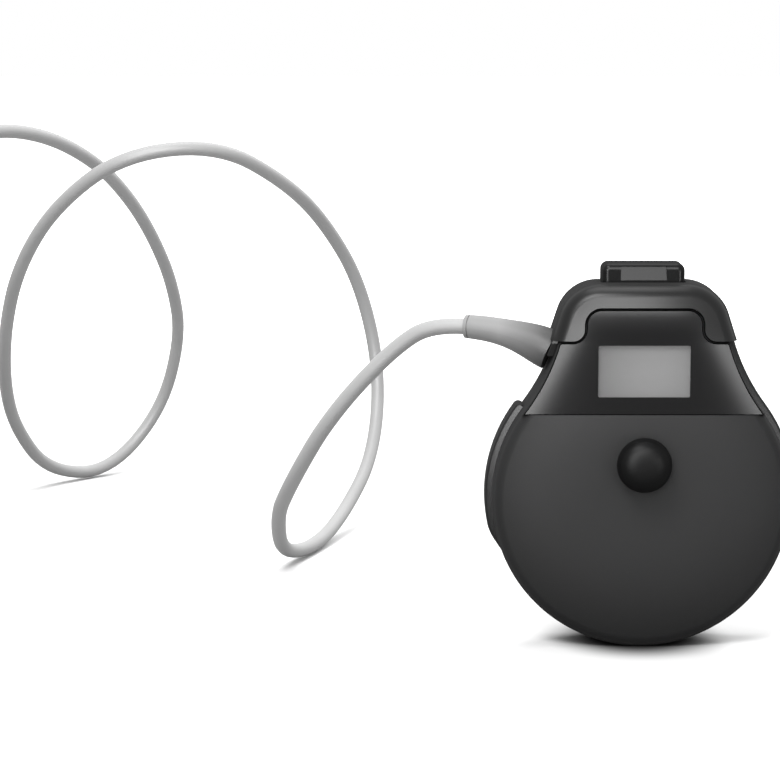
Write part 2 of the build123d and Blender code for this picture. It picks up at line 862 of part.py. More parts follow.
def saddle_profile():
    """Front view of the plug cap: flat top, wide shoulders and flared legs, down to its feet."""
    flare = radians(plug_flare_deg)
    centre_z = plug_top_z - plug_corner_r
    side_z = centre_z + plug_corner_r * sin(flare)
    side_x = plug_foot_half - (side_z - plug_foot_z) * tan(flare)
    centre_x = side_x - plug_corner_r * cos(flare)
    middle = (pi / 2 + flare) / 2
    with BuildSketch(Plane.XY) as saddle:
        with BuildLine():
            Line((0, plug_top_z), (centre_x, plug_top_z))
            ThreePointArc(
                (centre_x, plug_top_z),
                (centre_x + plug_corner_r * cos(middle), centre_z + plug_corner_r * sin(middle)),
                (side_x, side_z),
            )
            Polyline((side_x, side_z), (plug_foot_half, plug_foot_z), (0, plug_foot_z))
            mirror(about=Plane.YZ)
        make_face()
    return saddle.sketch


# The boot's axis: one arc from the cable's exit to its root against the neck
boot_axis = TangentArc(route[0], boot_root, tangent=Vector(*route[0]) - Vector(*route[1]))
boot_plane = Plane(origin=boot_axis @ 1, z_dir=-(boot_axis % 1))

saddle_outline = saddle_profile()
ear_outer = body_profile(slide_gap + ear_thick)

# Plug cap: saddle-shaped moulding with the tab's well, the contact pocket and the lead's socket
with BuildPart() as plug_housing:
    with BuildSketch(at_y(plug_front_y)):
        add(saddle_outline)
    extrude(amount=-(plug_split_y - plug_front_y))
    fillet(
        plug_housing.edges().group_by(Axis.Y)[0].filter_by(lambda e: e.center().Z > plug_foot_z + wall),
        plug_front_round,
    )
    with BuildSketch(at_y(ear_front_y)):
        add(ear_outer)
        with Locations((-plug_foot_half, plug_foot_z - ear_drop)):
            Rectangle(
                plug_foot_half,
                2 * ear_drop,
                align=(Align.CENTER, Align.MIN),
                mode=Mode.INTERSECT,
            )
    extrude(amount=-ear_depth)
    with BuildSketch(at_y(plug_front_y - plug_proud)):
        add(plug_cut_outline)
    extrude(amount=-(plug_split_y - plug_front_y + 2 * plug_proud), mode=Mode.SUBTRACT)
    with BuildSketch(boot_plane):
        Circle(boot_sections[0][1] + press_gap)
    extrude(amount=boot_axis.length, mode=Mode.SUBTRACT)
    with BuildSketch(at_z(rail_low_z)):
        for side in (1, -1):
            with Locations((side * (tongue_half + slide_gap), rail_y)):
                Rectangle(2 * rail_depth, rail_width)
    extrude(amount=rail_high_z - rail_low_z)
    with BuildSketch(at_z(plug_top_z)):
        with Locations((0, tab_front_y - slide_gap)):
            Rectangle(
                2 * (tab_half + slide_gap),
                plug_split_y - tab_front_y + slide_gap,
                align=(Align.CENTER, Align.MIN),
            )
    extrude(amount=-(plug_top_z - well_floor_z), mode=Mode.SUBTRACT)
    with BuildSketch(at_z(well_floor_z)):
        with Locations((0, tab_front_y - slide_gap)):
            Rectangle(
                2 * (tab_half + tab_flange + slide_gap),
                plug_split_y - tab_front_y + slide_gap,
                align=(Align.CENTER, Align.MIN),
            )
    extrude(amount=plug_top_z - tab_lip - well_floor_z, mode=Mode.SUBTRACT)
    with BuildSketch(at_z(bridge_z)):
        with Locations((0, contact_y)):
            Rectangle(carrier_width + 2 * seat_gap, carrier_depth + 2 * seat_gap)
    extrude(amount=carrier_height, mode=Mode.SUBTRACT)
    with BuildSketch(at_y(plug_split_y)):
        with Locations((plug_screw_x, plug_screw_z), (-plug_screw_x, plug_screw_z)):
            Circle(plug_screw_r + press_gap)
    extrude(amount=plug_screw_length, mode=Mode.SUBTRACT)
plug_housing.part.label = "plug_housing"
export_step(plug_housing.part, "parts/plug_housing.step")

# Back cover of the plug cap
with BuildPart() as plug_cover:
    with BuildSketch(at_y(plug_split_y)):
        add(saddle_outline)
    extrude(amount=-plug_cover_thick)
    fillet(
        plug_cover.edges().group_by(Axis.Y)[-1].filter_by(lambda e: e.center().Z > plug_foot_z + wall),
        plug_back_round,
    )
    with BuildSketch(at_y(plug_split_y)):
        add(plug_cut_outline)
    extrude(amount=-plug_cover_thick, mode=Mode.SUBTRACT)
    with BuildSketch(at_y(plug_split_y)):
        with Locations((plug_screw_x, plug_screw_z), (-plug_screw_x, plug_screw_z)):
            Circle(plug_screw_r + press_gap)
    extrude(amount=-plug_cover_thick, mode=Mode.SUBTRACT)
    with BuildSketch(at_y(plug_back_y)):
        with Locations((plug_screw_x, plug_screw_z), (-plug_screw_x, plug_screw_z)):
            Circle(plug_screw_head_r + press_gap)
    extrude(amount=plug_screw_head_height + seat_gap, mode=Mode.SUBTRACT)
plug_cover.part.label = "plug_cover"
export_step(plug_cover.part, "parts/plug_cover.step")

# Two screws through the cover into the legs
plug_screws = screw_bodies(
    [(plug_screw_x, plug_screw_z), (-plug_screw_x, plug_screw_z)],
    plug_back_y - plug_screw_head_height - seat_gap,
    plug_screw_head_r,
    plug_screw_head_height,
    plug_screw_r,
    plug_screw_length,
    -1,
)
plug_screws.label = "plug_screws"
export_step(plug_screws, "parts/plug_screws.step")

# Contact carrier in the bridge, and the sprung pins that press on the pads
with BuildPart() as contact_carrier:
    with BuildSketch(at_z(bridge_z)):
        with Locations((0, contact_y)):
            Rectangle(carrier_width, carrier_depth)
    extrude(amount=carrier_height)
    with BuildSketch(at_z(bridge_z)):
        with Locations(*contact_spots):
            Circle(pin_r + press_gap)
    extrude(amount=pin_length, mode=Mode.SUBTRACT)
contact_carrier.part.label = "contact_carrier"
export_step(contact_carrier.part, "parts/contact_carrier.step")

with BuildPart() as contact_pins:
    with BuildSketch(at_z(tongue_top_z + pin_tip_gap)):
        with Locations(*contact_spots):
            Circle(pin_r)
    extrude(amount=pin_length)
contact_pins.part.label = "contact_pins"
export_step(contact_pins.part, "parts/contact_pins.step")

# Release tab: rounded button whose flat facet leans back, with a flange that the well's lip holds in
with BuildPart() as release_tab:
    with BuildSketch(at_y(tab_front_y)) as tab_front:
        with Locations((0, tab_top_z)):
            Rectangle(2 * tab_half, tab_top_z - flange_low_z, align=(Align.CENTER, Align.MAX))
        fillet(
            corners_near(tab_front.sketch_local, [(tab_half, tab_top_z), (-tab_half, tab_top_z)]),
            tab_corner_r,
        )
    extrude(amount=-tab_depth)
    rims = release_tab.edges().filter_by(lambda e: e.center().Z > flange_low_z + tab_edge_round)
    fillet(rims.group_by(Axis.Y)[0], tab_side_round)
    rims = release_tab.edges().filter_by(lambda e: e.center().Z > flange_low_z + tab_edge_round)
    fillet(rims.group_by(Axis.Y)[-1], tab_edge_round)
    with BuildSketch(Plane.YZ.offset(-tab_facet_half)):
        with BuildLine():
            Polyline(
                (tab_front_y - tab_facet_lean, plug_top_z + tab_facet_low),
                (tab_front_y, plug_top_z + tab_facet_low),
                (tab_front_y + tab_facet_lean, tab_top_z - tab_facet_high),
                (tab_front_y - tab_facet_lean, tab_top_z - tab_facet_high),
                close=True,
            )
        make_face()
    extrude(amount=2 * tab_facet_half, mode=Mode.SUBTRACT)
    with BuildSketch(at_z(flange_low_z)):
        with Locations((0, (tab_front_y + tab_back_y) / 2)):
            Rectangle(2 * (tab_half + tab_flange), tab_depth)
    extrude(amount=tab_flange_thick)
release_tab.part.label = "release_tab"
export_step(release_tab.part, "parts/release_tab.step")

# Leaf spring under the tab: a thin bow on the well's floor that touches the tab's underside
bow_rise = flange_low_z - well_floor_z - spring_thick - press_gap
with BuildPart() as tab_spring:
    with BuildSketch(at_y((tab_front_y + tab_back_y - spring_width) / 2)):
        with BuildLine():
            half_span = spring_length / 2
            low = well_floor_z
            ThreePointArc((-half_span, low), (0, low + bow_rise), (half_span, low))
            Line((half_span, low), (half_span, low + spring_thick))
            ThreePointArc(
                (half_span, low + spring_thick),
                (0, low + bow_rise + spring_thick),
                (-half_span, low + spring_thick),
            )
            Line((-half_span, low + spring_thick), (-half_span, low))
        make_face()
    extrude(amount=-spring_width)
tab_spring.part.label = "tab_spring"
export_step(tab_spring.part, "parts/tab_spring.step")

# Lead boot: soft moulded strain relief that swells from the cable to its root in the plug's leg
with BuildPart() as lead_boot:
    for share, radius in boot_sections:
        with BuildSketch(Plane(origin=boot_axis @ (1 - share), z_dir=-(boot_axis % (1 - share)))):
            Circle(radius)
    loft()
    with BuildSketch(at_y(plug_front_y)):
        add(plug_cut_outline)
    extrude(amount=-(plug_back_y - plug_front_y), mode=Mode.SUBTRACT)
    groove_share = boot_groove_in / boot_axis.length
    with BuildSketch(Plane(origin=boot_axis @ groove_share, z_dir=boot_axis % groove_share)):
        Circle(boot_sections[-2][1])
        Circle(boot_sections[-1][1] - boot_groove_deep, mode=Mode.SUBTRACT)
    extrude(amount=boot_groove_width, mode=Mode.SUBTRACT)
lead_boot.part.label = "lead_boot"
export_step(lead_boot.part, "parts/lead_boot.step")


def bend_radii(points):
    """Largest tangent arc at each inner point: 0.45 of the shorter run over the half turn's tangent."""
    radii = []
    for before, here, after in zip(points, points[1:], points[2:]):
        run_in = Vector(*here) - Vector(*before)
        run_out = Vector(*after) - Vector(*here)
        half_turn = radians(run_in.get_angle(run_out)) / 2
        radii.append(0.45 * min(run_in.length, run_out.length) / tan(half_turn))
    return radii


# Cable: its free stretch, from the boot in two standing loops and down to the coil
route_radii = bend_radii(route)
with BuildPart() as lead_cable:
    with BuildLine() as cable_path:
        FilletPolyline(*route, radius=route_radii)
    with BuildSketch(Plane(origin=route[0], z_dir=Vector(*route[1]) - Vector(*route[0]))):
        Circle(cable_r)
    sweep()
lead_cable.part.label = "lead_cable"
export_step(lead_cable.part, "parts/lead_cable.step")
cable_length = cable_path.wires()[0].length
print("cable radii", [round(r) for r in route_radii], "smallest", round(min(route_radii), 1))
cable_section = pi * cable_r ** 2
print("cable length", round(cable_length, 1))
print("cable volume over section", round(lead_cable.part.volume / cable_section, 1))


def coil_nodes():
    """End points of the coil's half turns: radius, half-turn number and height, seen from above."""
    radius = coil_outer_r
    nodes = [(radius, 0, coil_low_z)]
    for turn in range(coil_turns_low):
        radius -= coil_pitch / 2
        nodes.append((radius, len(nodes), coil_low_z))
    nodes.append((radius, len(nodes), coil_high_z))
    for turn in range(coil_turns_high):
        radius += coil_pitch / 2
        nodes.append((radius, len(nodes), coil_high_z))
    return nodes


def coil_point(node):
    """Place of one half-turn end: even ones lie to the right of the centre, odd ones to the left."""
    radius, number, height = node
    side = 1 if number % 2 == 0 else -1
    return Vector(coil_x + side * radius, coil_y, height), Vector(0, side, 0)


# Coil: the put-away length in flat turns that spiral in, climb a layer and spiral out again
with BuildPart() as lead_coil:
    with BuildLine() as coil_path:
        ends = [coil_point(node) for node in coil_nodes()]
        Line(ends[0][0] - ends[0][1] * cable_d, ends[0][0])
        for (start, start_dir), (end, end_dir) in zip(ends, ends[1:]):
            reach = (end - start).length / 2
            middle = (start + start_dir * reach + end - end_dir * reach) / 2
            first = TangentArc(start, middle, tangent=start_dir)
            TangentArc(middle, end, tangent=first % 1)
        Line(ends[-1][0], ends[-1][0] + ends[-1][1] * coil_tail)
    with BuildSketch(Plane(origin=ends[0][0] - ends[0][1] * cable_d, z_dir=ends[0][1])):
        Circle(cable_r)
    sweep()
lead_coil.part.label = "lead_coil"
export_step(lead_coil.part, "parts/lead_coil.step")
coil_wire = coil_path.wires()[0]
coil_length = coil_wire.length
samples = [coil_wire @ (i / 400) for i in range(401)]
steps_apart = int(3 * cable_d / (coil_length / 400)) + 1
coil_gap = min(
    (samples[i] - samples[j]).length for i in range(401) for j in range(i + steps_apart, 401)
) - cable_d
print("coil length", round(coil_length, 1), "least gap", round(coil_gap, 2))
print("coil volume over section", round(lead_coil.part.volume / cable_section, 1))

# Tie round the coil's turns, on the side away from the cable's two ends
tie_in_x = coil_x - coil_outer_r + coil_pitch / 2 - cable_r - tie_gap
tie_out_x = coil_x - coil_outer_r + coil_pitch * coil_turns_low / 2 + cable_r + tie_gap
tie_high_z = coil_high_z + cable_r + tie_gap
with BuildPart() as coil_tie:
    with BuildSketch(at_y(coil_y - tie_width / 2)):
        with Locations(((tie_in_x + tie_out_x) / 2, (tie_high_z + tie_thick) / 2)):
            RectangleRounded(
                tie_out_x - tie_in_x + 2 * tie_thick, tie_high_z + tie_thick, tie_round + tie_thick
            )
        with Locations(((tie_in_x + tie_out_x) / 2, (tie_high_z + tie_thick) / 2)):
            RectangleRounded(tie_out_x - tie_in_x, tie_high_z - tie_thick, tie_round, mode=Mode.SUBTRACT)
    extrude(amount=-tie_width)
coil_tie.part.label = "coil_tie"
export_step(coil_tie.part, "parts/coil_tie.step")

# Connector at the far end, in line with the coil's last turn and lying on the same surface
connector_x = coil_x + coil_end_r
relief_y = coil_y + coil_tail
grip_y = relief_y + relief_length
barrel_y = grip_y + grip_length
tip_y = barrel_y + barrel_length


def connector_plane(y):
    """Section of the connector at depth y, centred on its axis and facing the coil."""
    return Plane(origin=(connector_x, y, coil_high_z), x_dir=(1, 0, 0), z_dir=(0, -1, 0))


with BuildPart() as connector_relief:
    with BuildSketch(connector_plane(relief_y)):
        Circle(relief_tip_r)
    with BuildSketch(connector_plane(grip_y)):
        Circle(relief_root_r)
    loft()
connector_relief.part.label = "connector_relief"
export_step(connector_relief.part, "parts/connector_relief.step")

# Grip: round moulding with shallow finger grooves
with BuildPart() as connector_grip:
    with BuildSketch(connector_plane(grip_y)):
        Circle(grip_r)
    extrude(amount=-grip_length)
    fillet(connector_grip.edges(), grip_round)
    for i in range(grip_rib_count):
        groove_y = grip_y + grip_length / 2 + (i - (grip_rib_count - 1) / 2) * grip_rib_pitch
        with BuildSketch(connector_plane(groove_y - grip_rib_width / 2)):
            Circle(grip_r + grip_rib_deep)
            Circle(grip_r - grip_rib_deep, mode=Mode.SUBTRACT)
        extrude(amount=-grip_rib_width, mode=Mode.SUBTRACT)
connector_grip.part.label = "connector_grip"
export_step(connector_grip.part, "parts/connector_grip.step")

# Metal barrel of the connector, recessed for its insert
with BuildPart() as connector_barrel:
    with BuildSketch(connector_plane(barrel_y)):
        Circle(barrel_r)
    extrude(amount=-barrel_length)
    fillet(connector_barrel.edges().group_by(Axis.Y)[-1], barrel_round)
    with BuildSketch(connector_plane(tip_y)):
        Circle(barrel_r - insert_inset)
    extrude(amount=insert_thick, mode=Mode.SUBTRACT)
connector_barrel.part.label = "connector_barrel"
export_step(connector_barrel.part, "parts/connector_barrel.step")

# Insert, flush with the barrel's mouth, and its ring of contact pins
with BuildPart() as connector_insert:
    with BuildSketch(connector_plane(tip_y)):
        Circle(barrel_r - insert_inset - press_gap)
        with PolarLocations(lead_pin_ring_r, lead_pin_count):
            Circle(lead_pin_r + press_gap, mode=Mode.SUBTRACT)
    extrude(amount=insert_thick)
connector_insert.part.label = "connector_insert"
export_step(connector_insert.part, "parts/connector_insert.step")

with BuildPart() as connector_pins:
    with BuildSketch(connector_plane(tip_y)):
        with PolarLocations(lead_pin_ring_r, lead_pin_count):
            Circle(lead_pin_r)
    extrude(amount=insert_thick)
connector_pins.part.label = "connector_pins"
export_step(connector_pins.part, "parts/connector_pins.step")

print("whole lead", round(boot_axis.length + cable_length + coil_length))
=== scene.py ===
"""Wireless contraction transducer with its plug-in electrode lead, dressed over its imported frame."""
import math

import bmesh
import bpy
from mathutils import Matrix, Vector


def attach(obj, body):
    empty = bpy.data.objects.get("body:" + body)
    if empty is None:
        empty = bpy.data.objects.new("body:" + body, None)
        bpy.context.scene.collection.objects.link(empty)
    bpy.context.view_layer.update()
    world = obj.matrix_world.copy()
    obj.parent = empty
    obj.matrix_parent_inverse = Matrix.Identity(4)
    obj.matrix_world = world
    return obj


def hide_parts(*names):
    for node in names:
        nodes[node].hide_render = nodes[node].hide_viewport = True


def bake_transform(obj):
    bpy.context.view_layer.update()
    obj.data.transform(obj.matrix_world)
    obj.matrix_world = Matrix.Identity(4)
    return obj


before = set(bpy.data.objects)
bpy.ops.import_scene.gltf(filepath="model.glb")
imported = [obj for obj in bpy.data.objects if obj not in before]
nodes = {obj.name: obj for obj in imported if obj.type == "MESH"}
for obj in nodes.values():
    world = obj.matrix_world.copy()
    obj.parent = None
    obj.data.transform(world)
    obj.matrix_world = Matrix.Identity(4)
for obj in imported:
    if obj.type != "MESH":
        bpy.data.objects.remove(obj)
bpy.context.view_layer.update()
scene = bpy.context.scene
scene.view_settings.view_transform = "Standard"


# Camera: a long lens in front of the transducer and a little above it, so that the standing disc
# stays nearly round and the loops of the lead reach the left edge.
def add(name, data):
    """A new object of some data, at the origin of the scene."""
    piece = bpy.data.objects.new(name, data)
    scene.collection.objects.link(piece)
    return piece


camera = add("camera", bpy.data.cameras.new("camera"))
camera.location = (-0.0689, -0.7248, 0.1794)
camera.rotation_euler = (math.radians(81.61), 0, math.radians(0.155))
camera.data.lens = 120
camera.data.sensor_width = 36
camera.data.clip_start = 0.01
scene.camera = camera


# Electrode lead: one soft grey cable, 4.6 mm thick, from the boot on the plug in two standing
# loops, then down to the shelf and into a flat tied coil that ends in the connector's relief.
# The boot is moulded round the cable in a darker grey; painted shade darkens it towards its root in the
# plug.
CABLE_D = 0.0046
LEAD_ROUTE = [
    (-49.4, 9.6, 89.5), (-59.2, 12.8, 89.7), (-69.2, 15.8, 82.9), (-81.8, 19.3, 69.6),
    (-91.0, 25.3, 56.9), (-97.0, 33.8, 45.6), (-101.5, 45.0, 36.0), (-106.0, 66.0, 24.0),
    (-106.0, 95.0, 5.5), (-96.0, 124.0, 1.6), (-87.0, 155.0, 7.0), (-77.0, 181.0, 23.0),
    (-75.0, 197.0, 51.0), (-82.0, 193.0, 83.0), (-94.0, 173.0, 106.0), (-106.0, 148.0, 121.0),
    (-127.0, 125.0, 135.0), (-158.0, 119.0, 132.0), (-182.0, 132.0, 114.0), (-197.0, 151.0, 92.0),
    (-205.0, 172.0, 69.0), (-209.0, 194.0, 46.0), (-209.0, 218.0, 26.5), (-201.0, 243.0, 6.0),
    (-181.0, 268.0, 0.6), (-161.0, 281.0, 23.0), (-152.0, 268.0, 54.0), (-153.0, 247.0, 76.0),
    (-157.0, 221.0, 95.0), (-163.0, 195.0, 112.0), (-172.0, 168.0, 127.0), (-187.0, 142.0, 138.0),
    (-205.0, 121.0, 140.0), (-225.0, 106.0, 126.0), (-237.0, 99.0, 100.0), (-240.0, 98.0, 72.0),
    (-237.0, 101.0, 44.0), (-231.0, 112.0, 18.0), (-227.1, 137.0, 2.9),
]
COIL_CENTRE = (-257.0, 165.0)
COIL_OUTER_R = 29.9
COIL_PITCH = 6.2
COIL_LOW_Z, COIL_LAYER = 2.9, 5.4
COIL_HALVES, COIL_HALVES_IN = 6, 3
COIL_STEPS = 16
COIL_TAIL = 16.0
BOOT_TIP_X, BOOT_ROOT_X = -0.0403, -0.0277
BOOT_ROOT_SHADE = (0.07, 0.07, 0.07)
GRAIN_DEPTH = 0.00004
RIM_START, RIM_FULL = 0.4, 0.8


def coil_points():
    """Points of the coil, in millimetres: half turns inwards, one that climbs, half turns outwards."""
    found = []
    inner_r = COIL_OUTER_R - COIL_PITCH / 2 * COIL_HALVES_IN
    for step in range(COIL_HALVES * COIL_STEPS + 1):
        half = step / COIL_STEPS
        climb = min(max(half - COIL_HALVES_IN, 0), 1)
        out = max(half - COIL_HALVES_IN - 1, 0)
        radius = COIL_OUTER_R - COIL_PITCH / 2 * half
        if half > COIL_HALVES_IN:
            radius = inner_r + COIL_PITCH / 2 * out
        found.append((COIL_CENTRE[0] + radius * math.cos(math.pi * half),
                      COIL_CENTRE[1] + radius * math.sin(math.pi * half),
                      COIL_LOW_Z + COIL_LAYER * climb))
    x, y, z = found[-1]
    return found + [(x, y + COIL_TAIL / 2, z), (x, y + COIL_TAIL, z)]


def grain_group():
    """Fine moulded texture: puts out a height for bumps and a slow drift of shade."""
    group = bpy.data.node_groups.new("moulded_grain", "ShaderNodeTree")
    put = group.interface.new_socket
    for name in ("Fine Scale", "Drift Scale"):
        put(name, in_out="INPUT", socket_type="NodeSocketFloat")
    for name in ("Height", "Drift"):
        put(name, in_out="OUTPUT", socket_type="NodeSocketFloat")
    made, link = group.nodes, group.links.new
    start, end = made.new("NodeGroupInput"), made.new("NodeGroupOutput")
    place = made.new("ShaderNodeTexCoord")
    for scale, detail, height in (("Fine Scale", 2, "Height"), ("Drift Scale", 1, "Drift")):
        noise = made.new("ShaderNodeTexNoise")
        noise.inputs["Detail"].default_value = detail
        link(place.outputs["Object"], noise.inputs["Vector"])
        link(start.outputs[scale], noise.inputs["Scale"])
        link(noise.outputs["Fac"], end.inputs[height])
    return group


def reckon(tree, operation, *values):
    """A Math node over sockets and plain numbers; gives its output."""
    node = tree.nodes.new("ShaderNodeMath")
    node.operation = operation
    for socket, value in zip(node.inputs, values):
        if isinstance(value, (int, float)):
            socket.default_value = value
        else:
            tree.links.new(value, socket)
    return node.outputs[0]


def ramp(tree, value, low, high, start, end, kind="LINEAR"):
    """Takes a value from the range low..high to start..end and holds it at both ends."""
    node = tree.nodes.new("ShaderNodeMapRange")
    node.interpolation_type = kind
    for socket, number in zip(("From Min", "From Max", "To Min", "To Max"), (low, high, start, end)):
        node.inputs[socket].default_value = number
    tree.links.new(value, node.inputs["Value"])
    return node.outputs["Result"]


def axes(tree):
    """The X, Y and Z of the Object coordinates."""
    place, apart = tree.nodes.new("ShaderNodeTexCoord"), tree.nodes.new("ShaderNodeSeparateXYZ")
    tree.links.new(place.outputs["Object"], apart.inputs["Vector"])
    return apart.outputs


def crown_group():
    """A face that is crowned a little: puts out how far each point lies from a centre, to a power."""
    group = bpy.data.node_groups.new("crowned_face", "ShaderNodeTree")
    put = group.interface.new_socket
    for name in ("Centre", "Reach"):
        put(name, in_out="INPUT", socket_type="NodeSocketVector")
    for name in ("Power", "Drop"):
        put(name, in_out="INPUT", socket_type="NodeSocketFloat")
    put("Height", in_out="OUTPUT", socket_type="NodeSocketFloat")
    made, link = group.nodes, group.links.new
    start, end = made.new("NodeGroupInput"), made.new("NodeGroupOutput")
    place = made.new("ShaderNodeTexCoord")
    off, share, far = (made.new("ShaderNodeVectorMath") for _ in range(3))
    off.operation, share.operation, far.operation = "SUBTRACT", "DIVIDE", "LENGTH"
    link(place.outputs["Object"], off.inputs[0])
    link(start.outputs["Centre"], off.inputs[1])
    link(off.outputs["Vector"], share.inputs[0])
    link(start.outputs["Reach"], share.inputs[1])
    link(share.outputs["Vector"], far.inputs[0])
    raised = reckon(group, "POWER", far.outputs["Value"], start.outputs["Power"])
    link(reckon(group, "MULTIPLY", raised, start.outputs["Drop"]), end.inputs["Height"])
    return group


GRAIN = grain_group()
CROWN = crown_group()


def crown_height(tree, centre, reach, power, drop):
    """The crowned face's output for a centre and a reach along X, Y and Z."""
    node = tree.nodes.new("ShaderNodeGroup")
    node.node_tree = CROWN
    for socket, value in (("Centre", centre), ("Reach", reach), ("Power", power), ("Drop", drop)):
        node.inputs[socket].default_value = value
    return node.outputs["Height"]


def bump_node(tree, height, strength, distance):
    """A Bump node over a height."""
    node = tree.nodes.new("ShaderNodeBump")
    node.inputs["Strength"].default_value = strength
    node.inputs["Distance"].default_value = distance
    tree.links.new(height, node.inputs["Height"])
    return node


def finish_material(name, dark, light, rough=(0.4, 0.5), bump=0.1, fine=2600.0, drift=30.0,
                    crown=None, dull_rim=False, **sockets):
    """A Principled finish that drifts between two colours over a fine grain. A crown tilts its
    normals away from a centre, and a dull rim takes the gloss off where the face turns away."""
    material = bpy.data.materials.new(name)
    material.use_nodes = True
    tree = material.node_tree
    made, link = tree.nodes, tree.links.new
    shader = made["Principled BSDF"]
    grain = made.new("ShaderNodeGroup")
    grain.node_tree = GRAIN
    grain.inputs["Fine Scale"].default_value = fine
    grain.inputs["Drift Scale"].default_value = drift
    shade = made.new("ShaderNodeMix")
    shade.data_type = "RGBA"
    shade.inputs["A"].default_value = (*dark, 1)
    shade.inputs["B"].default_value = (*light, 1)
    link(grain.outputs["Drift"], shade.inputs["Factor"])
    link(shade.outputs["Result"], shader.inputs["Base Color"])
    gloss = ramp(tree, grain.outputs["Height"], 0, 1, *rough)
    link(gloss, shader.inputs["Roughness"])
    relief = bump_node(tree, grain.outputs["Height"], bump, GRAIN_DEPTH)
    link(relief.outputs["Normal"], shader.inputs["Normal"])
    if crown:
        centre, reach, power, drop = crown
        tilt = bump_node(tree, crown_height(tree, centre, reach, power, -drop), 1, 1)
        link(tilt.outputs["Normal"], relief.inputs["Normal"])
    if dull_rim:
        facing, duller = made.new("ShaderNodeLayerWeight"), made.new("ShaderNodeMix")
        link(ramp(tree, facing.outputs["Facing"], RIM_START, RIM_FULL, 0, 1), duller.inputs["Factor"])
        link(gloss, duller.inputs["A"])
        duller.inputs["B"].default_value = 1
        link(duller.outputs["Result"], shader.inputs["Roughness"])
    for socket, value in sockets.items():
        shader.inputs[socket.replace("_", " ")].default_value = value
    return material


def dress(material, *names):
    """Gives CAD nodes their finish."""
    for name in names:
        for slot in nodes[name].material_slots:
            slot.material = material


lead_grey = finish_material("lead_grey", (0.36, 0.36, 0.36), (0.41, 0.41, 0.41), rough=(0.38, 0.5),
                            bump=0.15, fine=1400.0, drift=60.0)
curve = bpy.data.curves.new("lead", "CURVE")
curve.dimensions = "3D"
spline = curve.splines.new("NURBS")
route = LEAD_ROUTE + coil_points()
spline.points.add(len(route) - 1)
for point, (x, y, z) in zip(spline.points, route):
    point.co = (x / 1000, y / 1000, z / 1000, 1)
spline.order_u = 3
spline.use_endpoint_u = True
spline.resolution_u = 8
curve.bevel_depth = CABLE_D / 2
curve.bevel_resolution = 6
curve.use_fill_caps = True
curve.materials.append(lead_grey)
lead = add("lead", curve)
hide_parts("lead_cable", "lead_coil")
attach(lead, "lead_plug")
relief_grey = finish_material("relief_grey", (0.25, 0.25, 0.25), (0.29, 0.29, 0.29), rough=(0.42, 0.52),
                              bump=0.15, fine=1400.0, drift=60.0, Specular_IOR_Level=0.3)
tree = relief_grey.node_tree
base = tree.nodes["Principled BSDF"].inputs["Base Color"]
# Painted shade: the boot's grey darkens towards its root in the plug.
shaded = tree.nodes.new("ShaderNodeMix")
shaded.data_type = "RGBA"
shaded.inputs["B"].default_value = (*BOOT_ROOT_SHADE, 1)
tree.links.new(ramp(tree, axes(tree)["X"], BOOT_TIP_X, BOOT_ROOT_X, 0, 1), shaded.inputs["Factor"])
tree.links.new(base.links[0].from_socket, shaded.inputs["A"])
tree.links.new(shaded.outputs["Result"], base)
dress(relief_grey, "lead_boot", "connector_relief")


# Shells: black moulded plastic, matt and finely grained on the round front, smoother on the rear
# shell with its side grips. They are screwed together round a thin seal, and the belt stud, in the
# same plastic, is screwed on from inside.
DISC_R = 0.042
DISC_CENTRE, DISC_REACH = (0, 0, DISC_R), (DISC_R, 1, DISC_R)
shell_black = finish_material("shell_black", (0.017, 0.017, 0.0173), (0.022, 0.022, 0.0224),
                              rough=(0.50, 0.60), bump=0.35, crown=(DISC_CENTRE, DISC_REACH, 4, 0.0050),
                              dull_rim=True, Specular_IOR_Level=0.135)
dress(shell_black, "front_shell")
grip_black = finish_material("grip_black", (0.010, 0.010, 0.0102), (0.013, 0.013, 0.0133),
                             rough=(0.28, 0.34), bump=0.08, crown=(DISC_CENTRE, DISC_REACH, 4, 0.0024),
                             dull_rim=True, Specular_IOR_Level=0.22)
dress(grip_black, "rear_shell")
stud_black = finish_material("stud_black", (0.003, 0.003, 0.0031), (0.004, 0.004, 0.0041),
                             rough=(0.37, 0.43), bump=0.08, dull_rim=True, Specular_IOR_Level=0.09)
dress(stud_black, "belt_stud")
seal_dark = finish_material("seal_dark", (0.010, 0.010, 0.010), (0.014, 0.014, 0.014), rough=(0.5, 0.6))
dress(seal_dark, "seam_gasket", "sensor_diaphragm", "coil_tie")


# Screws: zinc-plated steel with rounded pan heads and hexagon sockets. Four are sunk in the domed
# back and two in the plug's cover; one rule sets each group out in rows from a single screw.
SCREW_SIDES = 24
THREAD_STEPS, THREAD_ROOT, SHAFT_TIP = 16, 0.86, 0.8
HEAD_PROFILE = ((0.97, 0.0), (1.0, 0.12), (1.0, 0.5), (0.95, 0.8), (0.82, 0.97), (0.7, 1.0))
SOCKET_R, SOCKET_FLOOR = 0.42, 0.45
SHELL_SCREW_X, SHELL_SCREW_Z, SHELL_SEAT_Y = 0.02566, 0.02153, 0.00929
PLUG_SCREW_X, PLUG_SCREW_Z, PLUG_SEAT_Y = 0.0202, 0.0944, 0.0091
steel = finish_material("steel", (0.50, 0.50, 0.51), (0.60, 0.60, 0.61), rough=(0.25, 0.35),
                        Metallic=1.0)


def circle(radius, sides):
    """Points round a circle."""
    turns = (2 * math.pi * i / sides for i in range(sides))
    return [(radius * math.cos(a), radius * math.sin(a)) for a in turns]


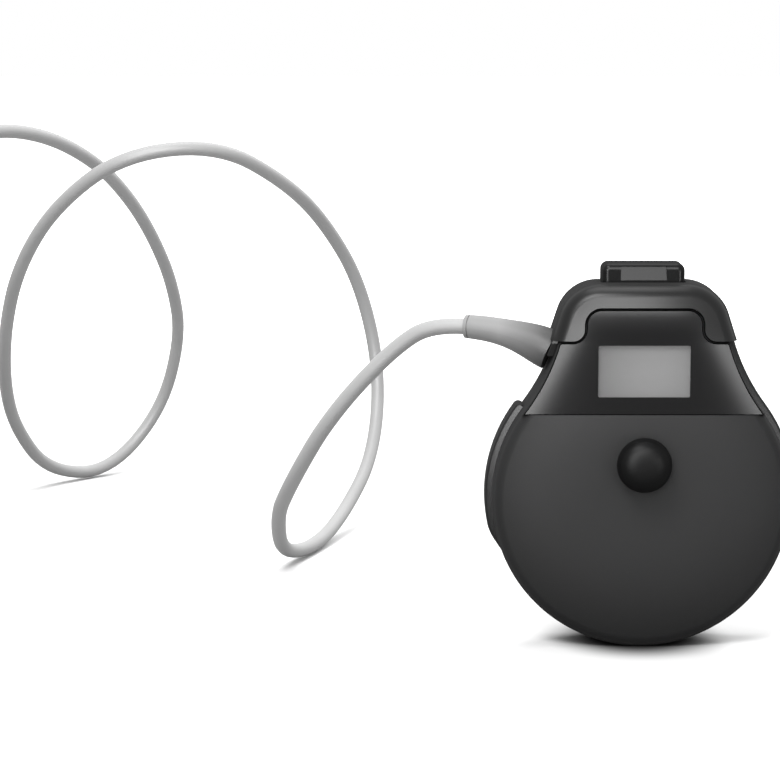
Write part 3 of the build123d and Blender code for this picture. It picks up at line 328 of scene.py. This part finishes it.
def skin(name, rings):
    """A closed mesh over rings of points, with a cap on the first and the last."""
    mesh, build = bpy.data.meshes.new(name), bmesh.new()
    loops = [[build.verts.new(point) for point in ring] for ring in rings]
    for one, two in zip(loops, loops[1:]):
        for i in range(len(one)):
            j = (i + 1) % len(one)
            build.faces.new((one[i], one[j], two[j], two[i]))
    build.faces.new(loops[0])
    build.faces.new(loops[-1])
    bmesh.ops.recalc_face_normals(build, faces=build.faces)
    build.to_mesh(mesh)
    build.free()
    return mesh


def screw_mesh(name, head_r, head_h, shaft_r, shaft_length):
    """One screw along Y: its head starts at y = 0 and faces the back, its shaft runs to the front."""
    profile = [(shaft_r * SHAFT_TIP, -shaft_length)]
    for i in range(1, THREAD_STEPS):
        profile.append((shaft_r * (THREAD_ROOT if i % 2 else 1.0), -shaft_length * (1 - i / THREAD_STEPS)))
    profile.append((shaft_r, 0.0))
    profile += [(head_r * r, head_h * h) for r, h in HEAD_PROFILE]
    rings = [[(x, y, z) for x, z in circle(radius, SCREW_SIDES)] for radius, y in profile]
    sixth = math.pi / 3
    for y in (head_h, head_h * SOCKET_FLOOR):
        hexagon = []
        for i in range(SCREW_SIDES):
            a = 2 * math.pi * i / SCREW_SIDES
            reach = head_r * SOCKET_R / math.cos((a % sixth) - sixth / 2)
            hexagon.append((reach * math.cos(a), y, reach * math.sin(a)))
        rings.append(hexagon)
    return skin(name, rings)


def rows_tree():
    """Sets copies of the incoming mesh out in rows: a count and a step one way, then the other."""
    tree = bpy.data.node_groups.new("set_in_rows", "GeometryNodeTree")
    put = tree.interface.new_socket
    put("Geometry", in_out="INPUT", socket_type="NodeSocketGeometry")
    for name in ("Count", "Rows"):
        put(name, in_out="INPUT", socket_type="NodeSocketInt").default_value = 1
    for name in ("Start", "Step", "Row Step"):
        put(name, in_out="INPUT", socket_type="NodeSocketVector")
    put("Material", in_out="INPUT", socket_type="NodeSocketMaterial")
    put("Geometry", in_out="OUTPUT", socket_type="NodeSocketGeometry")
    made, link = tree.nodes, tree.links.new
    start, end = made.new("NodeGroupInput"), made.new("NodeGroupOutput")
    line, rows = made.new("GeometryNodeMeshLine"), made.new("GeometryNodeMeshLine")
    first, second = made.new("GeometryNodeInstanceOnPoints"), made.new("GeometryNodeInstanceOnPoints")
    loose, finish = made.new("GeometryNodeRealizeInstances"), made.new("GeometryNodeSetMaterial")
    link(start.outputs["Count"], line.inputs["Count"])
    link(start.outputs["Start"], line.inputs["Start Location"])
    link(start.outputs["Step"], line.inputs["Offset"])
    link(start.outputs["Rows"], rows.inputs["Count"])
    link(start.outputs["Row Step"], rows.inputs["Offset"])
    link(line.outputs["Mesh"], first.inputs["Points"])
    link(start.outputs["Geometry"], first.inputs["Instance"])
    link(rows.outputs["Mesh"], second.inputs["Points"])
    link(first.outputs["Instances"], second.inputs["Instance"])
    link(second.outputs["Instances"], loose.inputs["Geometry"])
    link(loose.outputs["Geometry"], finish.inputs["Geometry"])
    link(start.outputs["Material"], finish.inputs["Material"])
    link(finish.outputs["Geometry"], end.inputs["Geometry"])
    return tree


ROWS = rows_tree()


def set_in_rows(name, mesh, material, **values):
    """A plain mesh object of one prototype repeated by the rows tree."""
    piece = add(name, mesh)
    rule = piece.modifiers.new("rows", "NODES")
    rule.node_group = ROWS
    values["Material"] = material
    for socket in ROWS.interface.items_tree:
        key = socket.name.replace(" ", "_")
        if socket.in_out == "INPUT" and key in values:
            rule[socket.identifier] = values[key]
    baked = bpy.data.meshes.new_from_object(piece.evaluated_get(bpy.context.evaluated_depsgraph_get()))
    piece.modifiers.remove(rule)
    piece.data = baked
    return piece


shell_screws = set_in_rows(
    "shell_screw_set",
    screw_mesh("shell_screw", head_r=0.0023, head_h=0.0015, shaft_r=0.0012, shaft_length=0.0117), steel,
    Count=2, Rows=2, Start=(-SHELL_SCREW_X, SHELL_SEAT_Y, DISC_R - SHELL_SCREW_Z),
    Step=(2 * SHELL_SCREW_X, 0, 0), Row_Step=(0, 0, 2 * SHELL_SCREW_Z))
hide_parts("shell_screws")
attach(shell_screws, "transducer")
plug_screws = set_in_rows(
    "plug_screw_set",
    screw_mesh("plug_screw", head_r=0.0017, head_h=0.0010, shaft_r=0.0008, shaft_length=0.0059), steel,
    Count=2, Rows=1, Start=(-PLUG_SCREW_X, PLUG_SEAT_Y, PLUG_SCREW_Z),
    Step=(2 * PLUG_SCREW_X, 0, 0), Row_Step=(0, 0, 0))
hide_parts("plug_screws")
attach(plug_screws, "lead_plug")
dress(steel, "stud_screw", "beam_screws", "radio_shield")


# Fascia: a glossy black panel set into the neck. It is crowned towards its slanted sides and
# curls back a little at its top, so that both catch light.
FASCIA_LOW_Z, FASCIA_HIGH_Z = 0.0666, 0.0871
FASCIA_LOW_HALF, FASCIA_HIGH_HALF = 0.0345, 0.0243
FASCIA_CROWN, FASCIA_SIDE_POWER = 0.0015, 3
CURL_Z, FASCIA_TOP_Z, CURL_SHARE, CURL_POWER = 0.0885, 0.0958, 0.62, 2
fascia_gloss = finish_material("fascia_gloss", (0.006, 0.006, 0.0063), (0.008, 0.008, 0.0083),
                               rough=(0.16, 0.22), bump=0.02, Specular_IOR_Level=0.2)
tree = fascia_gloss.node_tree
along = axes(tree)
half_width = ramp(tree, along["Z"], FASCIA_LOW_Z, FASCIA_HIGH_Z, FASCIA_LOW_HALF, FASCIA_HIGH_HALF)
aside = reckon(tree, "ABSOLUTE", reckon(tree, "DIVIDE", along["X"], half_width))
curl = ramp(tree, along["Z"], CURL_Z, FASCIA_TOP_Z, 0, CURL_SHARE)
hollow = reckon(tree, "ADD", reckon(tree, "POWER", aside, FASCIA_SIDE_POWER),
                reckon(tree, "POWER", curl, CURL_POWER))
bent = bump_node(tree, hollow, 1, FASCIA_CROWN)
bent.invert = True
tree.links.new(bent.outputs["Normal"], tree.nodes["Principled BSDF"].inputs["Normal"])
dress(fascia_gloss, "fascia_panel")


# Display: a small grey screen with painted light, brightest a little right of its middle, behind a
# clear moulded window that is glued into the fascia.
LENS_X, LENS_Z, LENS_MID_Z = 0.0128, 0.00725, 0.0788
LENS_FRONT_Y, LENS_BACK_Y, LENS_CORNER = -0.00665, -0.00570, 0.0005
PAINTED_LIGHT_CENTRE, PAINTED_LIGHT_REACH = (0.003, 0, 0.0785), (0.017, 1, 0.017)
lens_clear = finish_material("lens_clear", (0.30, 0.30, 0.30), (0.33, 0.33, 0.33),
                             rough=(0.10, 0.14), bump=0.0, Alpha=0.2)
lens_mesh, build = bpy.data.meshes.new("window_lens"), bmesh.new()
bmesh.ops.create_cube(build, size=1)
for vert in build.verts:
    vert.co = (2 * LENS_X * vert.co.x, LENS_BACK_Y if vert.co.y > 0 else LENS_FRONT_Y,
               LENS_MID_Z + 2 * LENS_Z * vert.co.z)
upright = [e for e in build.edges if e.verts[0].co.y != e.verts[1].co.y]
bmesh.ops.bevel(build, geom=upright, offset=LENS_CORNER, segments=4, affect="EDGES", profile=0.5)
build.to_mesh(lens_mesh)
build.free()
lens_mesh.materials.append(lens_clear)
lens = add("window_lens", lens_mesh)
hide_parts("display_lens")
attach(lens, "transducer")
display_grey = finish_material("display_grey", (0.33, 0.33, 0.33), (0.11, 0.11, 0.11),
                               rough=(0.4, 0.45), bump=0.02)
tree = display_grey.node_tree
shade = next(n for n in tree.nodes if n.type == "MIX")
# Painted light: the screen's grey is lightest a little right of its middle and darker outwards.
tree.links.new(crown_height(tree, PAINTED_LIGHT_CENTRE, PAINTED_LIGHT_REACH, 2, 1), shade.inputs["Factor"])
dress(display_grey, "display_module")


# Plug: a satin black saddle with its back cover, matt at the low tips of its legs. Five sprung gold
# pins in its carrier press on the pads of the contact block in the tongue.
SADDLE_CENTRE, SADDLE_REACH = (0, 0, 0.074), (0.032, 1, 0.030)
LEG_TIP_Z, LEG_Z = 0.0862, 0.0868
PIN_SIDES, PIN_R, PIN_LENGTH = 16, 0.0006, 0.0019
PIN_TIP = ((0.35, 0.05), (0.7, 0.2), (0.92, 0.45), (1.0, 0.8))
PIN_COUNT, PIN_PITCH, PIN_Y, PIN_Z = 5, 0.0036, 0.0015, 0.09646
plug_black = finish_material("plug_black", (0.004, 0.004, 0.0041), (0.006, 0.006, 0.0061),
                             rough=(0.30, 0.36), bump=0.06,
                             crown=(SADDLE_CENTRE, SADDLE_REACH, 2, 0.0056),
                             dull_rim=True, Specular_IOR_Level=0.25)
tree = plug_black.node_tree
rough = tree.nodes["Principled BSDF"].inputs["Roughness"]
matt_tip = ramp(tree, axes(tree)["Z"], LEG_TIP_Z, LEG_Z, 1, 0)
tree.links.new(reckon(tree, "MAXIMUM", matt_tip, rough.links[0].from_socket), rough)
dress(plug_black, "plug_housing", "plug_cover", "contact_block", "contact_carrier")
gold = finish_material("gold", (0.75, 0.53, 0.20), (0.85, 0.62, 0.26), rough=(0.2, 0.3), Metallic=1.0)
pin_profile = [(PIN_R * share, PIN_R * z) for share, z in PIN_TIP] + [(PIN_R, PIN_LENGTH)]
pin_mesh = skin("sprung_pin", [[(x, y, z) for x, y in circle(radius, PIN_SIDES)]
                               for radius, z in pin_profile])
pins = set_in_rows("sprung_pin_set", pin_mesh, gold, Count=PIN_COUNT, Rows=1,
                   Start=(-PIN_PITCH * (PIN_COUNT - 1) / 2, PIN_Y, PIN_Z), Step=(PIN_PITCH, 0, 0),
                   Row_Step=(0, 0, 0))
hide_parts("contact_pins")
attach(pins, "lead_plug")
dress(gold, "contact_pads", "connector_pins", "antenna")


# Release tab: a glossier black button on top of the plug, held up by a bowed leaf spring that
# stands on the well's floor.
SPRING_HALF, SPRING_RISE, SPRING_THICK, SPRING_STEPS = 0.0095, 0.00085, 0.0003, 24
SPRING_FRONT_Y, SPRING_BACK_Y, SPRING_LOW_Z = 0.0009, 0.0059, 0.0999
tab_gloss = finish_material("tab_gloss", (0.007, 0.007, 0.0072), (0.009, 0.009, 0.0092),
                            rough=(0.20, 0.28), bump=0.03, dull_rim=True, Specular_IOR_Level=0.12)
dress(tab_gloss, "release_tab")
cuts = []
for step in range(SPRING_STEPS + 1):
    share = 2 * step / SPRING_STEPS - 1
    low = SPRING_LOW_Z + SPRING_RISE * (1 - share ** 2)
    high = low + SPRING_THICK
    cuts.append([(SPRING_HALF * share, y, z) for y, z in (
        (SPRING_FRONT_Y, low), (SPRING_BACK_Y, low), (SPRING_BACK_Y, high), (SPRING_FRONT_Y, high))])
spring_mesh = skin("leaf_spring", cuts)
spring_mesh.materials.append(steel)
spring = add("leaf_spring", spring_mesh)
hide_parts("tab_spring")
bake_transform(spring)


# Sensing plunger on the back, and what is sealed inside the body: the strain-gauge beam, the main
# board with its battery, and the display's flex.
plunger_grey = finish_material("plunger_grey", (0.05, 0.05, 0.052), (0.06, 0.06, 0.062))
dress(plunger_grey, "sensor_plunger")
board_green = finish_material("board_green", (0.01, 0.07, 0.03), (0.014, 0.09, 0.04))
dress(board_green, "main_board")
cell_wrap = finish_material("cell_wrap", (0.04, 0.10, 0.24), (0.05, 0.12, 0.27))
dress(cell_wrap, "battery_pack")
beam_metal = finish_material("beam_metal", (0.60, 0.61, 0.62), (0.66, 0.67, 0.68), Metallic=1.0)
dress(beam_metal, "strain_beam")
flex_film = finish_material("flex_film", (0.42, 0.18, 0.03), (0.48, 0.21, 0.04))
dress(flex_film, "display_flex")


# Connector at the lead's far end: a black ribbed grip moulded over a bright turned barrel, which
# holds an insert with the pins. The buzzer inside the body is the same black plastic.
connector_black = finish_material("connector_black", (0.02, 0.02, 0.022), (0.03, 0.03, 0.032))
dress(connector_black, "connector_grip", "connector_insert", "buzzer")
barrel_metal = finish_material("barrel_metal", (0.62, 0.62, 0.64), (0.68, 0.68, 0.70),
                               rough=(0.12, 0.2), Metallic=1.0)
dress(barrel_metal, "connector_barrel")


# Floor: a pale surface that runs out to white for the camera and keeps the soft shadows of the disc
# and the loops, with a painted shadow darkest in a patch round the disc's foot. To everything else
# it is a mid grey that throws little light back up, so undersides stay dark.
FLOOR_HALF = 6
FLOOR_GREY, FLOOR_PALE, FOOT_PAINTED_SHADOW = 0.34, 0.80, 0.03
FOOT_CENTRE, FOOT_REACH, FOOT_CORE = (0, 0.0065, 0), (0.029, 0.030, 1), 0.38
WHITE_START, WHITE_FULL = 0.35, 0.9
floor_mesh = bpy.data.meshes.new("floor")
floor_mesh.from_pydata([(-FLOOR_HALF, -FLOOR_HALF, 0), (FLOOR_HALF, -FLOOR_HALF, 0),
                        (FLOOR_HALF, FLOOR_HALF, 0), (-FLOOR_HALF, FLOOR_HALF, 0)], [], [(0, 1, 2, 3)])
floor = add("floor", floor_mesh)
floor_material = bpy.data.materials.new("floor")
floor_material.use_nodes = True
tree = floor_material.node_tree
made, link = tree.nodes, tree.links.new
shader = made["Principled BSDF"]
shader.inputs["Roughness"].default_value = 0.9
shader.inputs["Specular IOR Level"].default_value = 0.0
shader.inputs["Emission Color"].default_value = (1, 1, 1, 1)
by_camera = made.new("ShaderNodeLightPath").outputs["Is Camera Ray"]
tint = made.new("ShaderNodeMix")
tint.data_type = "RGBA"
tint.inputs["A"].default_value = (FLOOR_GREY, FLOOR_GREY, FLOOR_GREY, 1)
# Painted shadow: for the camera the floor's colour goes near black in a patch round the disc's foot.
foot = crown_height(tree, FOOT_CENTRE, FOOT_REACH, 1, 1)
link(by_camera, tint.inputs["Factor"])
link(ramp(tree, foot, FOOT_CORE, 1, FOOT_PAINTED_SHADOW, FLOOR_PALE, "SMOOTHSTEP"), tint.inputs["B"])
link(tint.outputs["Result"], shader.inputs["Base Color"])
place, away = made.new("ShaderNodeTexCoord"), made.new("ShaderNodeVectorMath")
away.operation = "LENGTH"
link(place.outputs["Object"], away.inputs[0])
white = ramp(tree, away.outputs["Value"], WHITE_START, WHITE_FULL, 0, 1)
link(reckon(tree, "MULTIPLY", white, by_camera), shader.inputs["Emission Strength"])
floor_mesh.materials.append(floor_material)


# Studio: a white surround that lights a little less than it shows, a key from the upper left, a
# broad lamp overhead and one behind that shows in no reflection. Four lamps in front show in
# reflections only and draw the soft highlights of the disc, the saddle and the fascia's sides.
WORLD_LIGHT, WORLD_WHITE = 0.85, 1.0
world = bpy.data.worlds.new("studio")
world.use_nodes = True
scene.world = world
tree = world.node_tree
sky = tree.nodes["Background"]
sky.inputs["Color"].default_value = (1, 1, 1, 1)
rays = tree.nodes.new("ShaderNodeLightPath").outputs
mirrored = reckon(tree, "MAXIMUM", rays["Is Glossy Ray"], rays["Is Transmission Ray"])
shown = reckon(tree, "MAXIMUM", rays["Is Camera Ray"], mirrored)
tree.links.new(ramp(tree, shown, 0, 1, WORLD_LIGHT, WORLD_WHITE), sky.inputs["Strength"])


def softbox(name, place, aim, size, power, diffuse=True, glossy=True):
    """A square area lamp at a place, turned to its aim."""
    lamp = bpy.data.lights.new(name, "AREA")
    lamp.size = size
    lamp.energy = power
    box = add(name, lamp)
    box.location = place
    box.rotation_euler = (Vector(aim) - Vector(place)).to_track_quat("-Z", "Y").to_euler()
    box.visible_diffuse = diffuse
    box.visible_glossy = glossy


softbox("key", (-0.40, -0.75, 1.10), aim=(-0.03, 0.0, 0.05), size=0.5, power=13)
softbox("top", (-0.1, 0.20, 1.3), aim=(-0.1, 0.1, 0.0), size=0.8, power=6)
softbox("rear", (0.45, 0.85, 0.75), aim=(-0.05, 0.05, 0.05), size=0.5, power=8, glossy=False)
softbox("sheen", (-0.36, -0.93, 0.30), aim=(0.0, 0.0, 0.05), size=0.32, power=6, diffuse=False)
softbox("brow", (-0.02, -0.60, 0.37), aim=(0.0, 0.0, 0.100), size=0.34, power=4.5, diffuse=False)
softbox("left_panel", (-0.17, -0.50, 0.03), aim=(-0.02, 0.0, 0.075), size=0.14, power=1.2, diffuse=False)
softbox("right_panel", (0.28, -0.50, 0.03), aim=(0.03, 0.0, 0.075), size=0.16, power=1.2, diffuse=False)
